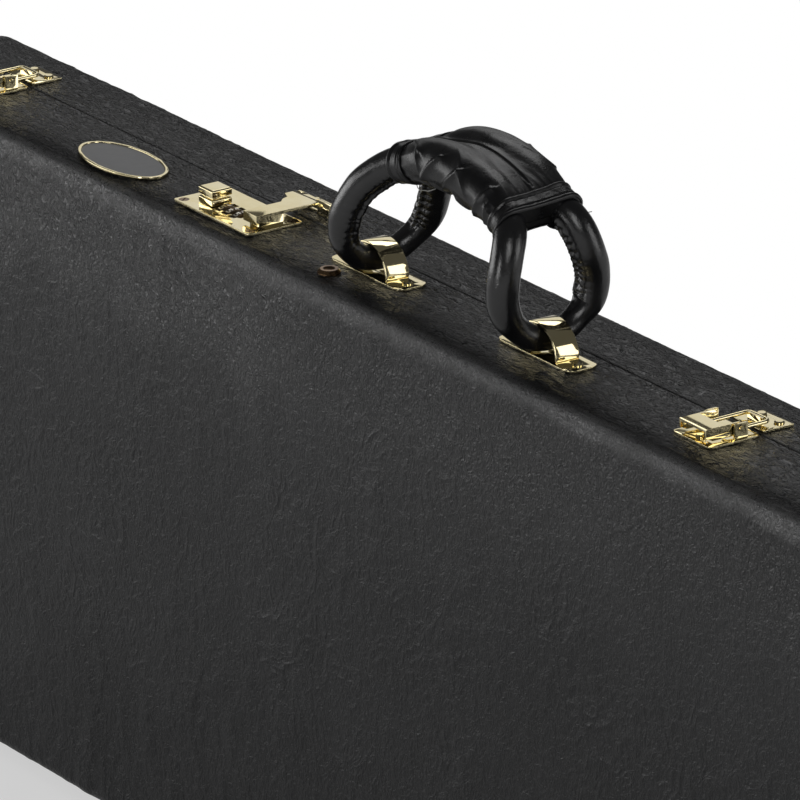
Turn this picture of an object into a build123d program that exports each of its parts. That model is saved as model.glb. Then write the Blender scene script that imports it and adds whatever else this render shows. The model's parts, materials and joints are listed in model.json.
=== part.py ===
from build123d import *
import os

os.makedirs("parts", exist_ok=True)

# An electric guitar case standing on its long side, in millimetres.
# X runs along the case, Y from the deep base shell to the lid, and Z up to the handle side.
# The origin is under the middle of the case, on the surface that it stands on.

# Overall sizes
case_length = 1040.0
case_height = 355.0
base_depth = 53.0
lid_depth = 44.0
foot_height = 10.0

# Shell build
corner_radius = 22.0
edge_radius = 8.0
covering = 1.2
board = 7.0
panel = 4.0
lining = 3.0
parting_gap = 1.0

# Clearances between pieces, and how far a cut runs past the surface that it leaves
fit_gap = 0.05
face_gap = 0.3
cut_past = 1.0

# Screws and rivets: a domed head on a shank that ends in the board
shank_radius = 1.4
shank_length = 6.0
head_radius = 2.6
head_height = 1.2
head_bevel = 0.6
plate_thickness = 1.2

parting = (base_depth - lid_depth) / 2
base_face = parting - base_depth
lid_face = parting + lid_depth
base_rim = parting - parting_gap / 2
lid_rim = parting + parting_gap / 2
bottom = foot_height
top = foot_height + case_height
middle = (bottom + top) / 2
wall = covering + board + lining
inner_x = case_length / 2 - wall
inner_low = bottom + wall
inner_high = top - wall


def plane_y(y):
    """The XZ plane at y. Its extrusions by a negative amount go towards +Y."""
    return Plane.XZ.offset(-y)


def plane_x(x):
    """The YZ plane at x. Its extrusions by a positive amount go towards +X."""
    return Plane.YZ.offset(x)


def save(piece, label):
    """Labels a finished piece and writes it."""
    piece.part.label = label
    export_step(piece.part, f"parts/{label}.step")


def block(low, high, mode=Mode.ADD):
    """Adds a box between two corners to the part being built, or cuts it."""
    centre = [(a + b) / 2 for a, b in zip(low, high)]
    size = [b - a for a, b in zip(low, high)]
    with Locations(tuple(centre)):
        Box(*size, mode=mode)


def rod(start, end, radius, mode=Mode.ADD):
    """Adds a round rod between two points to the part being built, or cuts it."""
    axis = Vector(*end) - Vector(*start)
    with Locations(Plane(origin=start, z_dir=axis)):
        Cylinder(radius, axis.length, align=(Align.CENTER, Align.CENTER, Align.MIN), mode=mode)


def rivet(x, y, seat, way=1):
    """Adds a domed fastener with its head on a seat at height seat, its head pointing up (1) or down (-1)."""
    rod((x, y, seat - way * shank_length), (x, y, seat), shank_radius)
    rod((x, y, seat), (x, y, seat + way * head_height), head_radius)
    rims = edges().filter_by(GeomType.CIRCLE)
    far_above = (x, y, seat + way * 10 * head_radius)
    chamfer(rims.sort_by_distance(far_above)[0], head_bevel)


def rivet_hole(x, y, seat, way=1):
    """Cuts the hole that a fastener's shank fills."""
    start = (x, y, seat - way * shank_length)
    end = (x, y, seat + way * cut_past)
    rod(start, end, shank_radius + fit_gap, Mode.SUBTRACT)


# Handle: a closed leather tube folded into an arch, whose two end loops hang in metal brackets
bracket_spacing = 144.0
handle_y = parting - 17.0
tube_radius = 6.5
loop_radius = 26.0
loop_clearance = 0.5
bend_margin = 0.1
strand_offset = 12.0
sleeve_radius = 12.2
sleeve_left = (-24.0, 72.5)
sleeve_crown = (20.0, 83.0)
sleeve_right = (60.0, 71.0)
band_grip = 3.5
band_radius = 9.6
shoulder_bend = 18.0
left_shoulder = (-57.0, 58.0)
right_shoulder = (76.0, 60.0)

# Handle brackets
bracket_plate = (62.0, 19.0)
bracket_corner = 5.0
strap_width = 14.0
strap_span = 34.0
strap_thickness = 1.5
strap_clearance = 1.6
bracket_rivet_offset = 25.0

# Combination lock, its left end and far edge
lock_left = -221.7
lock_plate_size = (68.0, 34.1)
lock_plate_corner = 1.5
lock_far = parting - 6.5
lock_screw_inset = 4.0
screw_head = 2.8
screw_sink = 1.0
screw_slot = (0.7, 0.5)
screw_turn = 35.0
dial_radius = 7.5
dial_width = 4.4
dial_pitch = 6.7
dial_first = 27.3
dial_stand = 2.4
dial_bore = 1.3
dial_bevel = 0.5
dial_slot_inset = 1.0
dial_setback = 14.5
slider_start = 11.0
slider_width = 12.4
slider_travel = 4.0
slider_stem = 3.2
slider_stem_drop = 4.0
slider_plinth = 3.4
slider_neck_inset = 1.2
slider_cap = (6.0, 10.0)
slider_bevel = 0.7
housing_start = 6.0
housing_length = 44.0
housing_half = 10.5
housing_depth = 14.0
housing_wall = 1.0
axle_wall_rise = 2.0
ridge_height = 5.9
ridge_side_inset = 2.0
ridge_near_gap = 1.0
ridge_far_inset = 8.0

# Hasp, hinged on the lid
hasp_pin_y = parting + 9.0
hasp_pin_height = 5.2
hasp_knuckle = 2.6
hasp_pin_radius = 1.2
hasp_right = -158.0
hasp_nose_width = 12.0
hasp_root_width = 21.7
hasp_nose_y = parting - 32.4
hasp_thickness = 1.8
hasp_lift = 1.0
hasp_knuckle_inset = 4.2
hasp_nose_drop = 3.0
hasp_shoulder = ((0.0, -9.0), (3.0, -6.0), (4.5, -2.0))
leaf_right = -150.0
leaf_left = -182.0
leaf_depth = 13.0
leaf_near = 0.5
leaf_rivet_inset = 5.0
leaf_rivet_reach = 8.5
knuckle_block = (-1.0, 1.5)
pin_overhang = 0.8

# Badge and side rivet
badge_place = (-287.5, parting - 27.6)
badge_radii = (34.0, 17.0)
badge_thickness = 1.6
badge_rim = 2.0
badge_recess = 0.6
side_rivet_place = (-86.3, parting - 37.4)
side_rivet_radius = 6.1
side_rivet_steps = ((0.0, 0.6), (1.5, 2.2), (3.0, 2.2), (4.0, 1.2))

# Draw latches: places along the case, then sizes measured across the parting
latch_end_inset = 90.0
latch_places = (-case_length / 2 + latch_end_inset, 210.0, case_length / 2 - latch_end_inset)
latch_plate_half = 15.0
latch_plate_reach = (-33.0, -2.5)
latch_rivet_reach = (-6.0, -27.0)
latch_ear_corner = 2.0
lever_pivot = (-12.0, 5.5)
bail_pivot = (-18.0, 3.9)
bail_bar = (8.3, 4.0)
lever_tail = -32.0
lever_front = -9.6
lever_half = 10.6
cheek = 1.0
lever_top = 8.6
lever_bottom = 2.2
lever_bridge = 1.4
lever_bridge_front = -20.5
lever_tail_slope = (4.0, 2.0)
lever_front_bevel = 2.0
ear_inner = 11.2
ear_outer = 12.4
ear_half = 4.0
ear_rise = 3.0
lever_stub_radius = 1.2
bail_wire = 1.1
bail_stub_radius = 0.9
bail_eye = 3.0
bail_half = 8.0
bail_bend = 3.0
catch_clearance = 1.1
catch_half = bail_half - bail_wire - catch_clearance
catch_wall = (5.3, 6.7)
catch_height = 5.2
catch_plate = (1.5, 20.0, 12.0)
catch_rivet_offset = 7.0
catch_rivet_reach = 15.0

# Butt hinges under the bottom side
hinge_places = (-330.0, 0.0, 330.0)
hinge_drop = 3.4
hinge_knuckle = 3.2
hinge_pin_radius = 1.25
hinge_half = 30.0
hinge_middle_half = 12.0
hinge_leaf_depth = 24.0
hinge_bridge = (0.4, 0.2)
hinge_rivet_offset = 20.0
hinge_rivet_reach = 16.0
hinge_pin_head = (2.0, 1.0)
hinge_z = bottom - hinge_drop

# Feet
foot_inset = 80.0
foot_width = 14.0
foot_corner = 3.0
foot_bevel = 1.5
base_foot = (base_face + 6.5, parting - 12.5)
lid_foot = (parting + 7.5, lid_face - 4.5)

# Interior
pad = 5.0
pad_edge = 2.0
lining_setback = 2.0
neck_half = 34.5
neck_notch = 28.0
cradle_left = -290.0
cradle_right = -240.0
cradle_notch_y = base_face + 22.5
cradle_notch_bow = 12.0
cradle_edge = 5.0
compartment_right = 60.0
compartment_wall = 6.0
compartment_lid_thickness = 4.0
compartment_lid_edge = 1.5
compartment_lid_gap = (1.0, 3.0)
soft_top = base_rim - 6.0
compartment_top = base_rim - 10.0
waist_x = 300.0
waist_length = 150.0
waist_bulge = 38.0
waist_edge = 7.0
end_bolster = 60.0
bolster_edge = 6.0
tab_size = (16.0, 30.8, 1.5)

loop_low = plate_thickness + loop_clearance + tube_radius
loop_bend = loop_radius - bend_margin
band_length = tube_radius + band_grip
strap_crown = loop_low + tube_radius + strap_clearance + strap_thickness
lock_near = lock_far - lock_plate_size[1]
dial_y = lock_near + dial_setback
dial_z = top + dial_stand - dial_radius
dial_x = [lock_left + dial_first + i * dial_pitch for i in range(3)]
housing_x = (lock_left + housing_start, lock_left + housing_start + housing_length)
housing_y = (dial_y - housing_half, dial_y + housing_half)
stem_x = lock_left + slider_start + slider_width / 2
lock_screws = [
    (x, y)
    for x in (lock_left + lock_screw_inset, lock_left + lock_plate_size[0] - lock_screw_inset)
    for y in (lock_near + lock_screw_inset, lock_far - lock_screw_inset)
]
bracket_x = (-bracket_spacing / 2, bracket_spacing / 2)
bracket_rivets = [
    (x + side * bracket_rivet_offset, handle_y) for x in bracket_x for side in (-1, 1)
]
latch_rivets = [(x, parting + reach) for x in latch_places for reach in latch_rivet_reach]
catch_rivets = [
    (x + side * catch_rivet_offset, parting + catch_rivet_reach) for x in latch_places for side in (-1, 1)
]
leaf_rivets = [
    (x, hasp_pin_y + leaf_rivet_reach) for x in (leaf_left + leaf_rivet_inset, leaf_right - leaf_rivet_inset)
]
hinge_base_rivets = [
    (x + side * hinge_rivet_offset, parting - hinge_rivet_reach) for x in hinge_places for side in (-1, 1)
]
hinge_lid_rivets = [
    (x + side * hinge_rivet_offset, parting + hinge_rivet_reach) for x in hinge_places for side in (-1, 1)
]

# Fasteners of each half, on their plates
with BuildPart() as base_fasteners:
    for x, y in bracket_rivets + latch_rivets:
        rivet(x, y, top + plate_thickness)
    for x, y in hinge_base_rivets:
        rivet(x, y, bottom - plate_thickness, -1)
save(base_fasteners, "base_rivets")

with BuildPart() as lid_fasteners:
    for x, y in catch_rivets + leaf_rivets:
        rivet(x, y, top + plate_thickness)
    for x, y in hinge_lid_rivets:
        rivet(x, y, bottom - plate_thickness, -1)
save(lid_fasteners, "lid_rivets")

with BuildPart() as lock_screw_set:
    for x, y in lock_screws:
        rod((x, y, top + plate_thickness - shank_length), (x, y, top + plate_thickness), shank_radius)
        with Locations((x, y, top + plate_thickness)):
            Cone(shank_radius, screw_head, screw_sink, align=(Align.CENTER, Align.CENTER, Align.MAX))
        with Locations(Location((x, y, top + plate_thickness), (0, 0, screw_turn))):
            Box(
                screw_slot[0],
                2 * screw_head,
                screw_slot[1],
                align=(Align.CENTER, Align.CENTER, Align.MAX),
                mode=Mode.SUBTRACT,
            )
save(lock_screw_set, "lock_screws")

# What is cut from the walls: fastener holes and the lock's pocket
with BuildPart() as base_cuts:
    for x, y in bracket_rivets + latch_rivets + lock_screws:
        rod((x, y, top + plate_thickness - shank_length), (x, y, top + cut_past), shank_radius + fit_gap)
    for x, y in hinge_base_rivets:
        start = (x, y, bottom - cut_past)
        end = (x, y, bottom - plate_thickness + shank_length)
        rod(start, end, shank_radius + fit_gap)
    block(
        (housing_x[0] - fit_gap, housing_y[0] - fit_gap, top - housing_depth - fit_gap),
        (housing_x[1] + fit_gap, housing_y[1] + fit_gap, top + cut_past),
    )
    side_x, side_y = side_rivet_place
    rod((side_x, side_y, top - shank_length), (side_x, side_y, top + cut_past), shank_radius + fit_gap)

with BuildPart() as lid_cuts:
    for x, y in catch_rivets + leaf_rivets:
        rod((x, y, top + plate_thickness - shank_length), (x, y, top + cut_past), shank_radius + fit_gap)
    for x, y in hinge_lid_rivets:
        start = (x, y, bottom - cut_past)
        end = (x, y, bottom - plate_thickness + shank_length)
        rod(start, end, shank_radius + fit_gap)


def case_block(inset, face, rim, rounding):
    """The case's outline drawn in by inset, from its outer face to its rim, with rounded face edges."""
    with BuildPart() as body:
        with BuildSketch(plane_y(face)):
            with Locations((0, middle)):
                RectangleRounded(
                    case_length - 2 * inset, case_height - 2 * inset, corner_radius - inset
                )
        extrude(amount=face - rim)
        if rounding:
            fillet(faces().sort_by_distance((0, face, middle))[0].edges(), rounding)
    return body.part


def region(places, width, height):
    """Boxes through the whole depth of the case, which pick out a stretch of its rim."""
    with BuildPart() as boxes:
        with Locations([(x, parting, z) for x, z in places]):
            Box(width, 2 * (base_depth + lid_depth), height)
    return boxes.part


# The two shells, each with a covering, a panel, four rim boards and four bent corners
straight_x = case_length - 2 * corner_radius
straight_z = case_height - 2 * corner_radius
edge_x = case_length / 2 - corner_radius / 2
edge_low = bottom + corner_radius / 2
edge_high = top - corner_radius / 2
rim_regions = {
    "rim_top": region([(0, edge_high)], straight_x, corner_radius),
    "rim_bottom": region([(0, edge_low)], straight_x, corner_radius),
    "rim_ends": region([(-edge_x, middle), (edge_x, middle)], corner_radius, straight_z),
    "corners": region(
        [(x, z) for x in (-edge_x, edge_x) for z in (edge_low, edge_high)],
        corner_radius,
        corner_radius,
    ),
}

for half, face, rim, inward, cuts in (
    ("base", base_face, base_rim, 1, base_cuts.part),
    ("lid", lid_face, lid_rim, -1, lid_cuts.part),
):
    board_face = face + inward * covering
    floor = board_face + inward * panel
    outside = case_block(0, face, rim, edge_radius)
    boards = case_block(covering, board_face, rim, edge_radius - covering)
    hollow = case_block(covering + board, floor, rim, 0)
    below_floor = case_block(0, face, floor, 0)

    with BuildPart() as skin:
        add(outside)
        add(boards, mode=Mode.SUBTRACT)
        add(cuts, mode=Mode.SUBTRACT)
    save(skin, f"{half}_covering")

    with BuildPart() as face_panel:
        add(boards)
        add(below_floor, mode=Mode.INTERSECT)
    save(face_panel, f"{half}_panel")

    for name, stretch in rim_regions.items():
        with BuildPart() as rim_piece:
            add(boards)
            add(below_floor, mode=Mode.SUBTRACT)
            add(hollow, mode=Mode.SUBTRACT)
            add(stretch, mode=Mode.INTERSECT)
            add(cuts, mode=Mode.SUBTRACT)
        save(rim_piece, f"{half}_{name}")

    with BuildPart() as rim_lining:
        add(case_block(covering + board, floor, rim - inward * lining_setback, 0))
        add(case_block(wall, floor, rim - inward * lining_setback, 0), mode=Mode.SUBTRACT)
        add(cuts, mode=Mode.SUBTRACT)
    save(rim_lining, f"{half}_rim_lining")

    with BuildPart() as face_pad:
        add(case_block(wall + fit_gap, floor, floor + inward * pad, 0))
        fillet(faces().sort_by_distance((0, floor + inward * pad, middle))[0].edges(), pad_edge)
    save(face_pad, f"{half}_pad")

    with BuildPart() as feet:
        low_y, high_y = base_foot if half == "base" else lid_foot
        for side in (-1, 1):
            x = side * (case_length / 2 - foot_inset)
            block((x - foot_width / 2, low_y, 0), (x + foot_width / 2, high_y, bottom))
        fillet(edges().filter_by(Axis.Z), foot_corner)
        fillet(edges().group_by(Axis.Z)[0], foot_bevel)
    save(feet, f"{half}_feet")

# Interior of the base
pad_top = base_face + covering + panel + pad

with BuildPart() as waist_bolsters:
    for edge, way in ((inner_high, -1), (inner_low, 1)):
        with BuildSketch(plane_y(pad_top)):
            with BuildLine():
                start = (waist_x - waist_length / 2, edge)
                crown = (waist_x, edge + way * waist_bulge)
                end = (waist_x + waist_length / 2, edge)
                ThreePointArc(start, crown, end)
                Line(end, start)
            make_face()
    extrude(amount=pad_top - soft_top)
    fillet(faces().group_by(Axis.Y)[-1].edges(), waist_edge)
save(waist_bolsters, "waist_bolsters")

with BuildPart() as end_bolsters:
    for edge, way in ((inner_high, -1), (inner_low, 1)):
        inset = corner_radius - wall
        with BuildSketch(plane_y(pad_top)):
            with BuildLine():
                Polyline(
                    (inner_x - end_bolster, edge),
                    (inner_x - inset, edge),
                    (inner_x, edge + way * inset),
                    (inner_x, edge + way * end_bolster),
                    close=True,
                )
            make_face()
    extrude(amount=pad_top - soft_top)
    fillet(faces().group_by(Axis.Y)[-1].edges(), bolster_edge)
save(end_bolsters, "end_bolsters")

with BuildPart() as neck_cradle:
    block((cradle_left, pad_top, inner_low), (cradle_right, soft_top, inner_high))
    with BuildSketch(plane_x(cradle_left)):
        with BuildLine():
            bow_y = cradle_notch_y + cradle_notch_bow
            Line((soft_top, middle - neck_notch), (bow_y, middle - neck_notch))
            ThreePointArc(
                (bow_y, middle - neck_notch),
                (cradle_notch_y, middle),
                (bow_y, middle + neck_notch),
            )
            Line((bow_y, middle + neck_notch), (soft_top, middle + neck_notch))
            Line((soft_top, middle + neck_notch), (soft_top, middle - neck_notch))
        make_face()
    extrude(amount=cradle_right - cradle_left, mode=Mode.SUBTRACT)
    fillet(faces().group_by(Axis.Y)[-1].edges().filter_by(Axis.Z), cradle_edge)
save(neck_cradle, "neck_cradle")

with BuildPart() as neck_bolster:
    block(
        (cradle_right + face_gap, pad_top, inner_low),
        (compartment_right, soft_top, middle - neck_half),
    )
    fillet(faces().group_by(Axis.Y)[-1].edges(), bolster_edge)
save(neck_bolster, "neck_bolster")

compartment_low = middle + neck_half
with BuildPart() as compartment_walls:
    block(
        (cradle_right + face_gap, pad_top, compartment_low),
        (cradle_right + compartment_wall, compartment_top, inner_high),
    )
    block(
        (compartment_right - compartment_wall, pad_top, compartment_low),
        (compartment_right, compartment_top, inner_high),
    )
    block(
        (cradle_right + compartment_wall, pad_top, compartment_low),
        (compartment_right - compartment_wall, compartment_top, compartment_low + compartment_wall),
    )
save(compartment_walls, "compartment_walls")

compartment_lid_y = compartment_top + face_gap
with BuildPart() as compartment_lid:
    block(
        (cradle_right + compartment_lid_gap[0], compartment_lid_y, compartment_low),
        (
            compartment_right,
            compartment_lid_y + compartment_lid_thickness,
            inner_high - compartment_lid_gap[1],
        ),
    )
    fillet(faces().group_by(Axis.Y)[-1].edges(), compartment_lid_edge)
save(compartment_lid, "compartment_lid")

tab_y = compartment_lid_y + compartment_lid_thickness
with BuildPart() as compartment_tab:
    with BuildSketch(plane_y(tab_y)):
        with Locations(((cradle_right + compartment_right) / 2, compartment_low)):
            SlotOverall(tab_size[1], tab_size[0], rotation=90)
    extrude(amount=-tab_size[2])
save(compartment_tab, "compartment_tab")

# Butt hinges: the base has the two outer knuckles and the pin, the lid the middle knuckle
for half, way in (("base", -1), ("lid", 1)):
    with BuildPart() as leaves:
        for x in hinge_places:
            near = parting + way * (hinge_knuckle + face_gap)
            far = parting + way * hinge_leaf_depth
            block(
                (x - hinge_half, min(near, far), bottom - plate_thickness),
                (x + hinge_half, max(near, far), bottom),
            )
            if half == "base":
                stretches = ((-hinge_half, -hinge_middle_half), (hinge_middle_half, hinge_half))
            else:
                stretches = ((face_gap - hinge_middle_half, hinge_middle_half - face_gap),)
            for start, end in stretches:
                rod((x + start, parting, hinge_z), (x + end, parting, hinge_z), hinge_knuckle)
                block(
                    (x + start, min(parting, near), bottom - plate_thickness - hinge_bridge[0]),
                    (x + end, max(parting, near), bottom - hinge_bridge[1]),
                )
            rod(
                (x - hinge_half, parting, hinge_z),
                (x + hinge_half, parting, hinge_z),
                hinge_pin_radius + fit_gap,
                Mode.SUBTRACT,
            )
        for x, y in hinge_base_rivets if half == "base" else hinge_lid_rivets:
            rivet_hole(x, y, bottom - plate_thickness, -1)
    save(leaves, f"hinge_{half}_leaves")

with BuildPart() as hinge_pins:
    for x in hinge_places:
        rod((x - hinge_half, parting, hinge_z), (x + hinge_half, parting, hinge_z), hinge_pin_radius)
        for side in (-1, 1):
            start = (x + side * hinge_half, parting, hinge_z)
            end = (x + side * (hinge_half + hinge_pin_head[1]), parting, hinge_z)
            rod(start, end, hinge_pin_head[0])
save(hinge_pins, "hinge_pins")

# Combination lock
with BuildPart() as lock_plate:
    with BuildSketch(Plane.XY.offset(top)):
        with Locations((lock_left + lock_plate_size[0] / 2, (lock_near + lock_far) / 2)):
            RectangleRounded(*lock_plate_size, lock_plate_corner)
    extrude(amount=plate_thickness)
    block(
        (
            hasp_right - hasp_nose_width + ridge_side_inset,
            hasp_nose_y + hasp_thickness + ridge_near_gap,
            top,
        ),
        (hasp_right - ridge_side_inset, lock_far - ridge_far_inset, top + ridge_height),
    )
    for x in dial_x:
        block(
            (
                x - dial_width / 2 - face_gap,
                dial_y - dial_radius + dial_slot_inset,
                top - cut_past,
            ),
            (
                x + dial_width / 2 + face_gap,
                dial_y + dial_radius - dial_slot_inset,
                top + plate_thickness + cut_past,
            ),
            Mode.SUBTRACT,
        )
    block(
        (
            stem_x - slider_stem / 2 - slider_travel - face_gap,
            dial_y - slider_stem / 2 - face_gap,
            top - cut_past,
        ),
        (
            stem_x + slider_stem / 2 + face_gap,
            dial_y + slider_stem / 2 + face_gap,
            top + plate_thickness + cut_past,
        ),
        Mode.SUBTRACT,
    )
    for x, y in lock_screws:
        rod(
            (x, y, top - cut_past),
            (x, y, top + plate_thickness + cut_past),
            shank_radius + fit_gap,
            Mode.SUBTRACT,
        )
        with Locations((x, y, top + plate_thickness)):
            Cone(
                shank_radius + fit_gap,
                screw_head + fit_gap,
                screw_sink + fit_gap,
                align=(Align.CENTER, Align.CENTER, Align.MAX),
                mode=Mode.SUBTRACT,
            )
save(lock_plate, "lock_plate")

with BuildPart() as lock_housing:
    block((housing_x[0], housing_y[0], top - housing_depth), (housing_x[1], housing_y[1], top))
    block(
        (housing_x[0] + housing_wall, housing_y[0] + housing_wall, top - housing_depth + housing_wall),
        (housing_x[1] - housing_wall, housing_y[1] - housing_wall, top + cut_past),
        Mode.SUBTRACT,
    )
    for start in (housing_x[0], dial_x[0] - dial_pitch):
        wall_end = start + housing_wall
        block(
            (start, housing_y[0] + housing_wall, top - housing_depth + housing_wall),
            (wall_end, housing_y[1] - housing_wall, dial_z + axle_wall_rise),
        )
    rod(
        (housing_x[0] - cut_past, dial_y, dial_z),
        (housing_x[1] + cut_past, dial_y, dial_z),
        dial_bore - fit_gap,
        Mode.SUBTRACT,
    )
save(lock_housing, "lock_housing")

with BuildPart() as dial_axle:
    rod(
        (dial_x[0] - dial_pitch, dial_y, dial_z),
        (housing_x[1], dial_y, dial_z),
        dial_bore - fit_gap,
    )
save(dial_axle, "dial_axle")

for number, x in enumerate(dial_x, start=1):
    with BuildPart() as dial:
        rod((x - dial_width / 2, dial_y, dial_z), (x + dial_width / 2, dial_y, dial_z), dial_radius)
        chamfer(edges().filter_by(GeomType.CIRCLE), dial_bevel)
        rod((x - dial_width, dial_y, dial_z), (x + dial_width, dial_y, dial_z), dial_bore, Mode.SUBTRACT)
    save(dial, f"dial_{number}")

slider_low = (stem_x - slider_width / 2, dial_y - slider_width / 2)
slider_high = (stem_x + slider_width / 2, dial_y + slider_width / 2)
with BuildPart() as lock_slider:
    seat = top + plate_thickness + face_gap
    block(
        (slider_low[0], slider_low[1], seat),
        (slider_high[0], slider_high[1], seat + slider_plinth),
    )
    chamfer(edges().group_by(Axis.Z)[-1], slider_bevel)
    block(
        (slider_low[0], slider_low[1], top + slider_cap[0]),
        (slider_high[0], slider_high[1], top + slider_cap[1]),
    )
    chamfer(edges().group_by(Axis.Z)[-1], slider_bevel)
    block(
        (slider_low[0] + slider_neck_inset, slider_low[1] + slider_neck_inset, seat),
        (slider_high[0] - slider_neck_inset, slider_high[1] - slider_neck_inset, top + slider_cap[1]),
    )
    block(
        (stem_x - slider_stem / 2, dial_y - slider_stem / 2, top - slider_stem_drop),
        (stem_x + slider_stem / 2, dial_y + slider_stem / 2, seat + slider_plinth),
    )
save(lock_slider, "lock_slider")

# Hasp: a leaf on the lid, a pin, and an arm that reaches over the lock plate
hasp_z = top + hasp_pin_height
arm_root_left = hasp_right - hasp_root_width
arm_knuckle = (arm_root_left + hasp_knuckle_inset, hasp_right - hasp_knuckle_inset)
with BuildPart() as hasp_leaf:
    block(
        (leaf_left, hasp_pin_y + leaf_near, top),
        (leaf_right, hasp_pin_y + leaf_depth, top + plate_thickness),
    )
    for start, end in ((arm_root_left, arm_knuckle[0] - face_gap), (arm_knuckle[1] + face_gap, leaf_right)):
        rod((start, hasp_pin_y, hasp_z), (end, hasp_pin_y, hasp_z), hasp_knuckle)
        block((start, hasp_pin_y + knuckle_block[0], top), (end, hasp_pin_y + knuckle_block[1], hasp_z))
    rod(
        (leaf_left, hasp_pin_y, hasp_z),
        (leaf_right + cut_past, hasp_pin_y, hasp_z),
        hasp_pin_radius + fit_gap,
        Mode.SUBTRACT,
    )
    for x, y in leaf_rivets:
        rivet_hole(x, y, top + plate_thickness)
save(hasp_leaf, "hasp_leaf")

with BuildPart() as hasp_pin:
    rod(
        (arm_root_left - pin_overhang, hasp_pin_y, hasp_z),
        (leaf_right + pin_overhang, hasp_pin_y, hasp_z),
        hasp_pin_radius,
    )
save(hasp_pin, "hasp_pin")

arm_low = hasp_z + hasp_lift
arm_end = hasp_pin_y - hasp_knuckle
nose_left = hasp_right - hasp_nose_width
with BuildPart() as hasp_arm:
    with BuildSketch(Plane.XY.offset(arm_low)):
        with BuildLine():
            Polyline(
                (hasp_right, arm_end),
                (hasp_right, hasp_nose_y),
                (nose_left, hasp_nose_y),
                *((nose_left - out, parting + reach) for out, reach in hasp_shoulder),
                (arm_root_left, parting),
                (arm_root_left, arm_end),
                close=True,
            )
        make_face()
    extrude(amount=hasp_thickness)
    block(
        (nose_left, hasp_nose_y, top + hasp_nose_drop),
        (hasp_right, hasp_nose_y + hasp_thickness, arm_low + hasp_thickness),
    )
    rod((arm_knuckle[0], hasp_pin_y, hasp_z), (arm_knuckle[1], hasp_pin_y, hasp_z), hasp_knuckle)
    block(
        (arm_knuckle[0], arm_end - hasp_thickness, arm_low),
        (arm_knuckle[1], hasp_pin_y, hasp_z + hasp_knuckle),
    )
    rod(
        (arm_root_left, hasp_pin_y, hasp_z),
        (hasp_right, hasp_pin_y, hasp_z),
        hasp_pin_radius + fit_gap,
        Mode.SUBTRACT,
    )
save(hasp_arm, "hasp_arm")

# Badge and side rivet
with BuildPart() as badge:
    with BuildSketch(Plane.XY.offset(top)):
        with Locations(badge_place):
            Ellipse(*badge_radii)
    extrude(amount=badge_thickness)
    with BuildSketch(Plane.XY.offset(top + badge_thickness)):
        with Locations(badge_place):
            Ellipse(badge_radii[0] - badge_rim, badge_radii[1] - badge_rim)
    extrude(amount=-badge_recess, mode=Mode.SUBTRACT)
save(badge, "badge")

with BuildPart() as side_rivet:
    rod((side_x, side_y, top - shank_length), (side_x, side_y, top), shank_radius)
    with BuildSketch(Plane.XZ.offset(-side_y)):
        with BuildLine():
            Polyline(
                (side_x, top),
                (side_x + side_rivet_radius, top),
                *((side_x + side_rivet_radius - inset, top + rise) for inset, rise in side_rivet_steps),
                (side_x, top + side_rivet_steps[-1][1]),
                close=True,
            )
        make_face()
    revolve(axis=Axis((side_x, side_y, top), (0, 0, 1)))
save(side_rivet, "side_rivet")

# Draw latches
with BuildPart() as latch_plates:
    for x in latch_places:
        near, far = (parting + reach for reach in latch_plate_reach)
        block((x - latch_plate_half, near, top), (x + latch_plate_half, far, top + plate_thickness))
        pivot_y = parting + lever_pivot[0]
        for side in (-1, 1):
            low, high = sorted((x + side * ear_inner, x + side * ear_outer))
            block(
                (low, pivot_y - ear_half, top),
                (high, pivot_y + ear_half, top + lever_pivot[1] + ear_rise),
            )
        rod(
            (x - ear_outer - cut_past, pivot_y, top + lever_pivot[1]),
            (x + ear_outer + cut_past, pivot_y, top + lever_pivot[1]),
            lever_stub_radius + fit_gap,
            Mode.SUBTRACT,
        )
    fillet(edges().filter_by(Axis.Z).group_by(SortBy.LENGTH)[0], latch_ear_corner)
    for x, y in latch_rivets:
        rivet_hole(x, y, top + plate_thickness)
save(latch_plates, "latch_plates")

with BuildPart() as latch_catches:
    for x in latch_places:
        near, far, half_width = catch_plate
        block(
            (x - half_width, parting + near, top),
            (x + half_width, parting + far, top + plate_thickness),
        )
        block(
            (x - catch_half, parting + catch_wall[0], top),
            (x + catch_half, parting + catch_wall[1], top + catch_height),
        )
    for x, y in catch_rivets:
        rivet_hole(x, y, top + plate_thickness)
save(latch_catches, "latch_catches")

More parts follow.
